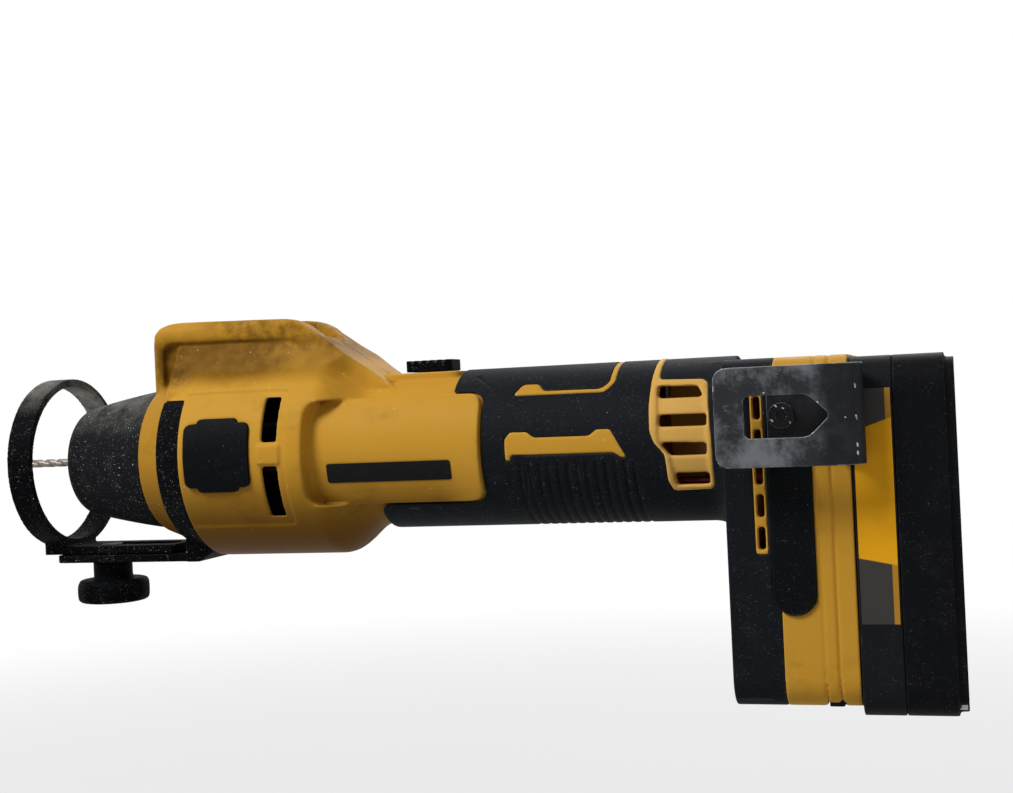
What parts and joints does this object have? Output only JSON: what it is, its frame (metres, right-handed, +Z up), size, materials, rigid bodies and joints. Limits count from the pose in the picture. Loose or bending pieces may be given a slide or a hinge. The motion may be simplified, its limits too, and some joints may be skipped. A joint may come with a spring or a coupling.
{
  "type": "drywall cut out tool",
  "caption": "Cordless hand tool that spins a thin spiral bit through a sliding depth guide to cut openings in drywall, with a slide-on battery pack and belt hook.",
  "frame": {"origin": "spindle axis at the front face of the depth guide, guide drawn back", "axes": "+X back along the spindle to the battery pack, +Y to the right side of the tool, +Z up"},
  "size_m": [0.363, 0.0932, 0.1448],
  "materials": {
    "yellow_plastic": "moulded amber yellow nylon, lightly textured",
    "grip_rubber": "black overmould, fine texture",
    "pad_rubber": "smooth black rubber",
    "label_black": "bare black label plate",
    "boot_rubber": "black textured boot, dusty",
    "black_plastic": "black glass filled nylon",
    "guide_plastic": "black moulded depth guide",
    "black_steel": "black powder coated steel",
    "bright_steel": "turned steel",
    "lamination_steel": "stacked laminations",
    "cast_alloy": "die cast",
    "copper_wire": "enamelled copper winding",
    "contact_brass": "plated contact metal",
    "magnet": "coated magnet",
    "board_green": "circuit board",
    "lead_insulation": "insulated lead",
    "clear_lens": "clear lens",
    "pack_grey": "dark grey pack top",
    "pack_black": "black pack base",
    "cell_metal": null,
    "holder_plastic": "white moulded holder",
    "pack_label": "bare yellow and grey label"
  },
  "bodies": {
    "housing": {"housing_left": "yellow_plastic", "housing_right": "yellow_plastic", "grip_left": "grip_rubber", "grip_right": "grip_rubber", "side_pads": "pad_rubber", "label_plates": "label_black", "nose_boot": "boot_rubber", "guide_bracket": "guide_plastic", "bearing_carrier": "cast_alloy", "front_outer_race": "bright_steel", "front_balls": "bright_steel", "rear_outer_race": "bright_steel", "rear_balls": "bright_steel", "stator_core": "lamination_steel", "stator_coils": "copper_wire", "sensor_board": "board_green", "switch_body": "black_plastic", "controller_tray": "cast_alloy", "controller_board": "board_green", "motor_leads": "lead_insulation", "terminal_block": "yellow_plastic", "terminal_blades": "contact_brass", "foot_bumpers": "pad_rubber", "belt_hook": "black_steel", "hook_screw": "black_steel", "housing_screws": "bright_steel", "lever_pin": "bright_steel", "led_board": "board_green", "led_lens": "clear_lens"},
    "spindle": {"spindle": "bright_steel", "rotor_core": "lamination_steel", "rotor_magnets": "magnet", "cooling_fan": "black_plastic", "collet": "bright_steel", "collet_nut": "bright_steel", "release_collar": "bright_steel", "front_inner_race": "bright_steel", "rear_inner_race": "bright_steel"},
    "bit": {"cutting_bit": "bright_steel"},
    "switch": {"switch_slider": "black_plastic", "switch_link": "black_plastic"},
    "bit_lever": {"bit_lever": "yellow_plastic"},
    "release_yoke": {"release_yoke": "bright_steel"},
    "depth_guide": {"depth_guide": "guide_plastic"},
    "guide_knob": {"guide_knob": "black_plastic", "knob_screw": "bright_steel"},
    "battery": {"pack_top_case": "pack_grey", "pack_base_case": "pack_black", "pack_cells": "cell_metal", "cell_holder": "holder_plastic", "pack_board": "board_green", "pack_terminals": "contact_brass", "pack_labels": "pack_label", "pack_screws": "bright_steel", "gauge_lights": "clear_lens", "latch_spring": "bright_steel"},
    "pack_latch": {"pack_latch": "black_plastic"},
    "gauge_button": {"gauge_button": "black_plastic"}
  },
  "joints": [
    {"name": "spindle_spin", "type": "hinge", "parent": "housing", "child": "spindle", "pos_m": [0.1, 0, 0], "axis": [1, 0, 0], "continuous": true},
    {"name": "bit_draw", "type": "slide", "parent": "spindle", "child": "bit", "axis": [-1, 0, 0], "range_m": [0, 0.03]},
    {"name": "switch_slide", "type": "slide", "parent": "housing", "child": "switch", "axis": [-1, 0, 0], "range_m": [0, 0.006]},
    {"name": "lever_lift", "type": "hinge", "parent": "housing", "child": "bit_lever", "pos_m": [0.07, 0, 0.048], "axis": [0, -1, 0], "range_deg": [0, 75]},
    {"name": "yoke_slide", "type": "slide", "parent": "housing", "child": "release_yoke", "axis": [1, 0, 0], "range_m": [0, 0.0026]},
    {"name": "guide_slide", "type": "slide", "parent": "housing", "child": "depth_guide", "axis": [-1, 0, 0], "range_m": [0, 0.026]},
    {"name": "knob_turn", "type": "hinge", "parent": "housing", "child": "guide_knob", "pos_m": [0.0235, 0, -0.047], "axis": [0, 0, 1], "continuous": true},
    {"name": "battery_slide", "type": "slide", "parent": "housing", "child": "battery", "axis": [0, 0, -1], "range_m": [0, 0.115]},
    {"name": "latch_press", "type": "slide", "parent": "battery", "child": "pack_latch", "axis": [1, 0, 0], "range_m": [0, 0.0035], "stiffness_N_per_m": 1200, "deforming": ["latch_spring"]},
    {"name": "gauge_press", "type": "slide", "parent": "battery", "child": "gauge_button", "axis": [0, 0, 1], "range_m": [0, 0.0008], "stiffness_N_per_m": 1500}
  ],
  "couplings": [
    {"joint": "yoke_slide", "follows": "lever_lift", "m_per_rad": 0.001948}
  ]
}
